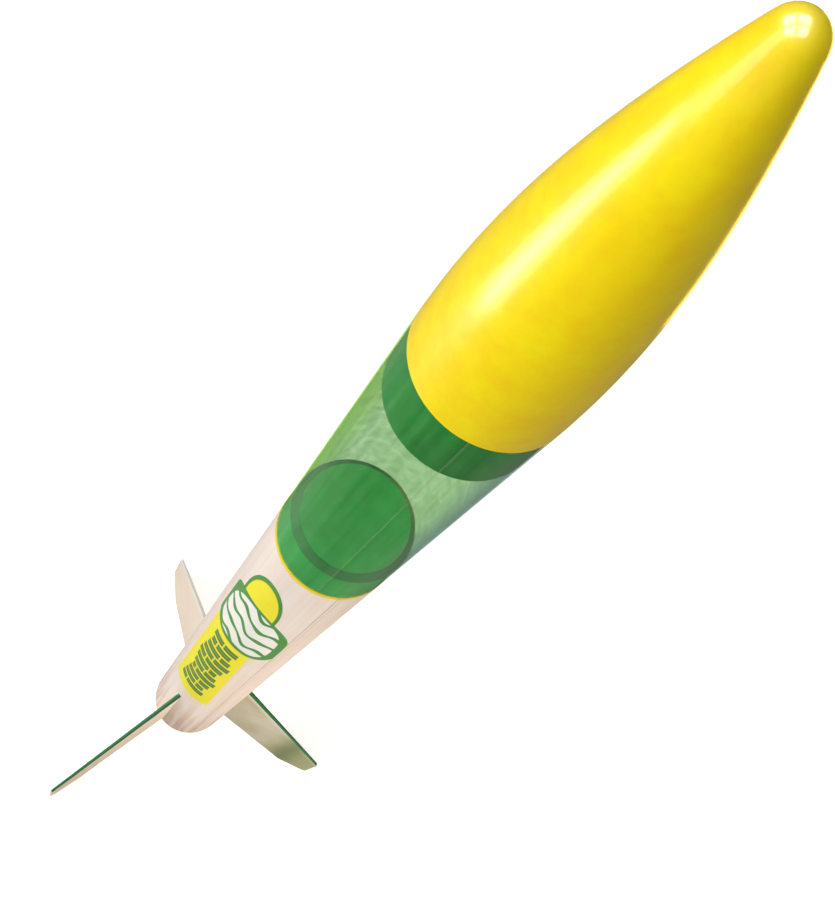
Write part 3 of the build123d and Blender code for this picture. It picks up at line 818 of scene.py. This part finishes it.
def wadding_sheet(number, low, high):
    """One square of flameproof tissue, folded small and crushed into the tube."""
    height = (high.z - low.z) / WADDING_SHEETS
    x, y, z = folded_square(0.62 * height / WADDING_FOLDS**2)
    crush = crumple(x, y, number) * 0.16 * height
    z = low.z + number * height + 0.2 * height + z + crush
    inward = 1 - 0.05 * (1 + crumple(y, x, number + 5))
    x, y = x * inward, y * inward
    turn = math.radians(37 * number + 11)
    turned_x = x * math.cos(turn) - y * math.sin(turn)
    turned_y = x * math.sin(turn) + y * math.cos(turn)
    return sheet_mesh(f"wadding_sheet_{number + 1}", np.stack([turned_x, turned_y, z], -1))


def crumple(x, y, seed):
    """Creased relief from -1 to 1: a few folded planes in different directions."""
    draw = np.random.default_rng(200 + seed)
    total = np.zeros(np.broadcast(x, y).shape)
    for wave in (17.0, 11.0, 7.0):
        heading, phase = draw.uniform(0, math.pi), draw.uniform(0, 1)
        run = (x * math.cos(heading) + y * math.sin(heading)) / (wave * MM) + phase
        total += (4 * np.abs(run - np.floor(run) - 0.5) - 1) * wave / 35.0
    return total


def wadding():
    """The four sheets of tissue between the motor mount and the canopy."""
    low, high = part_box("recovery_wadding")
    tissue = tissue_paper()
    for number in range(WADDING_SHEETS):
        piece = wadding_sheet(number, low, high)
        thicken(piece, TISSUE)
        piece.data.materials.append(tissue)
        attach(piece, "root")
        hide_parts("recovery_wadding")


def tissue_paper():
    """Soft off-white tissue with loose fibres."""
    paint = Paint("tissue_paper", Roughness=0.9, Sheen_Weight=0.15)
    fibre = paint.noise(1400, 6, 0.75, distortion=1.0)
    cloud = paint.span(paint.noise(90, 3, 0.5), 0.3, 0.7)
    face = paint.mix(cloud, srgb(240, 236, 226), srgb(222, 214, 198))
    paint.colour(paint.mix(paint.span(fibre, 0.4, 0.7, 0.0, 0.4), face, srgb(196, 188, 172)))
    paint.bump(fibre, 0.00008)
    return paint.material


# ---------------------------------------------------------------- dressing the CAD nodes
def dress():
    """Gives every carried-over CAD node its material."""
    shared = {
        yellow_plastic: ["nose_cone", "adapter_collar"],
        shoulder_green: ["nose_shoulder"],
        cup_green: ["adapter_cup"],
        clear_plastic: ["payload_tube"],
        black_plastic: ["retainer_sleeve", "retainer_cap"],
        steel: ["screw_eye", "eye_washer", "eye_nut"],
        white_tube: ["body_tube"],
        white_lug: ["launch_lug_aft", "launch_lug_fore"],
        kraft_tube: ["motor_tube"],
        ring_board: ["aft_centering_ring", "fore_centering_ring", "thrust_ring"],
        anchor_paper: ["cord_mount"],
        motor_paper: ["motor_casing"],
        plywood: ["coupler_bulkhead"],
        clay: ["clay_nozzle", "clay_cap"],
        propellant: ["propellant_grain", "delay_charge", "ejection_charge"],
        panel_print: ["panel_decal"],
        band_print: ["band_decal"],
        tab_print: ["tab_decal"],
    }
    for make, nodes in shared.items():
        give_material(make(), nodes)
    for node in FIN_AZIMUTHS:
        give_material(fin_paint(node), [node])


def give_material(material, nodes):
    """Puts the material in every slot of those CAD nodes."""
    for node in nodes:
        slots = NODES[node].data.materials
        if len(slots) == 0:
            slots.append(material)
        for number in range(len(slots)):
            slots[number] = material


# ---------------------------------------------------------------- camera, floor and lights
CAMERA_PLACE = (0.04512, -0.17700, 0.82721)
CAMERA_TURN = (23.8476, -20.4933, 52.4598)      # XYZ degrees
LENS_MM = 39.25
SENSOR_MM = 36.0
FLOOR_HALF = 30.0
DOME_DIM, DOME_BRIGHT = 0.12, 0.95
DOME_RISE = 0.35             # how much the dome also brightens with height
BACKDROP_LEVEL = 1.06
WHITE = (1.0, 0.985, 0.96)
PEACH = (1.0, 0.86, 0.72)
AMBER = (1.0, 0.6, 0.14)


def camera():
    """The camera above the nose, looking down past the rocket to its fins."""
    data = bpy.data.cameras.new("camera")
    data.lens = LENS_MM
    data.sensor_width = SENSOR_MM
    data.clip_start = 0.01
    data.clip_end = 100.0
    eye = bpy.data.objects.new("camera", data)
    eye.location = CAMERA_PLACE
    eye.rotation_euler = Euler([math.radians(a) for a in CAMERA_TURN], "XYZ")
    bpy.context.scene.collection.objects.link(eye)
    bpy.context.scene.camera = eye


def floor():
    """A plain pale floor at the fins' feet, darker to the lights so that it throws little back."""
    size = FLOOR_HALF
    mesh = bpy.data.meshes.new("floor")
    corners = [(-size, -size, 0), (size, -size, 0), (size, size, 0), (-size, size, 0)]
    mesh.from_pydata(corners, [], [(0, 1, 2, 3)])
    ground = bpy.data.objects.new("floor", mesh)
    ground.location.z = FOOT_Z
    bpy.context.scene.collection.objects.link(ground)
    paint = Paint("floor", Roughness=0.9, Emission_Color=srgb(255, 255, 255))
    seen = paint.nodes.new("ShaderNodeLightPath").outputs["Is Camera Ray"]
    paint.colour(paint.mix(seen, srgb(150, 142, 132), srgb(250, 250, 249)))
    paint.put(paint.shader.inputs["Emission Strength"], paint.math("MULTIPLY", seen, 0.45))
    mesh.materials.append(paint.material)


def area_light(name, size, power, colour):
    """A rectangular light of that width and height in metres, hidden from the camera."""
    data = bpy.data.lights.new(name, "AREA")
    data.shape = "RECTANGLE"
    data.size, data.size_y = size
    data.energy = power
    data.color = colour
    lamp = bpy.data.objects.new(name, data)
    lamp.visible_camera = False
    bpy.context.scene.collection.objects.link(lamp)
    return lamp


def softbox(name, azimuth, distance, height, size, power, colour, aim):
    """An area light at an azimuth and distance from the rocket's axis, facing the point aim."""
    lamp = area_light(name, size, power, colour)
    turn = math.radians(azimuth)
    lamp.location = (distance * math.cos(turn), distance * math.sin(turn), height)
    lamp.rotation_euler = (Vector(aim) - lamp.location).to_track_quat("-Z", "Y").to_euler()
    return lamp


def studio():
    """A soft dome of light, brighter on the key side, that the camera sees as a plain white."""
    world = bpy.data.worlds.new("studio")
    world.use_nodes = True
    nodes, links = world.node_tree.nodes, world.node_tree.links
    direction = nodes.new("ShaderNodeTexCoord").outputs["Generated"]
    side = nodes.new("ShaderNodeVectorMath")
    side.operation = "DOT_PRODUCT"
    links.new(direction, side.inputs[0])
    key_side = math.radians(KEY_AZIMUTH)
    side.inputs[1].default_value = (math.cos(key_side), math.sin(key_side), DOME_RISE)
    ramp = nodes.new("ShaderNodeMapRange")
    links.new(side.outputs["Value"], ramp.inputs["Value"])
    for socket, number in zip(ramp.inputs[1:5], (-0.7, 0.9, DOME_DIM, DOME_BRIGHT)):
        socket.default_value = number
    seen = nodes.new("ShaderNodeLightPath").outputs["Is Camera Ray"]
    level = nodes.new("ShaderNodeMix")
    links.new(seen, level.inputs["Factor"])
    links.new(ramp.outputs["Result"], level.inputs["A"])
    level.inputs["B"].default_value = BACKDROP_LEVEL
    links.new(level.outputs["Result"], nodes["Background"].inputs["Strength"])
    nodes["Background"].inputs["Color"].default_value = (*WHITE, 1.0)
    bpy.context.scene.world = world


STRIP_WIDTHS = (0.16, 0.30, 0.46)


def strip():
    """A tall light low on the key side: three widths over each other, so that its edges fade."""
    for width in STRIP_WIDTHS:
        lamp = softbox(f"strip_{width}", azimuth=-131, distance=0.78, height=0.30,
                       size=(width, 0.56), power=4.4, colour=WHITE, aim=(0, 0, 0.42))
        lamp.visible_diffuse = False


WINDOW_AZIMUTH, WINDOW_ELEVATION = -139, 63
WINDOW_DISTANCE = 0.62       # from the nose's tip
PANE, PANE_GAP = 0.38, 0.07
PANE_WATTS = 14.0


def window():
    """A window of four panes, high on the key side, which the nose's tip mirrors."""
    tip = Vector((0, 0, TOP_Z))
    azimuth, elevation = math.radians(WINDOW_AZIMUTH), math.radians(WINDOW_ELEVATION)
    flat = math.cos(elevation)
    toward = Vector((flat * math.cos(azimuth), flat * math.sin(azimuth), math.sin(elevation)))
    turn = (-toward).to_track_quat("-Z", "Y")
    pitch = PANE + PANE_GAP
    for across in (-0.5, 0.5):
        for up in (-0.5, 0.5):
            lamp = area_light(f"pane_{across}_{up}", (PANE, PANE), PANE_WATTS, WHITE)
            lamp.visible_diffuse = False
            offset = turn @ Vector((across * pitch, up * pitch, 0))
            lamp.location = tip + toward * WINDOW_DISTANCE + offset
            lamp.rotation_euler = turn.to_euler()


def lights():
    """A key and a small warm fill light the object, and the others are seen as reflections."""
    strip()
    window()
    softbox("key", azimuth=KEY_AZIMUTH, distance=1.7, height=1.0,
            size=(1.0, 1.0), power=17.0, colour=WHITE, aim=(0, 0, 0.45))
    rim = softbox("rim", azimuth=88, distance=0.8, height=0.30,
                  size=(0.46, 0.62), power=4.0, colour=AMBER, aim=(0, 0, 0.45))
    rim.visible_diffuse = False
    fill = softbox("side_fill", azimuth=12, distance=0.85, height=0.22,
                   size=(0.3, 0.5), power=0.8, colour=PEACH, aim=(0, 0, 0.20))
    fill.data.spread = math.radians(52)
    fill.visible_glossy = False


def main():
    camera()
    floor()
    studio()
    lights()
    bpy.context.scene.view_settings.view_transform = "Standard"
    dress()
    wadding()
    rolled_canopy()


main()
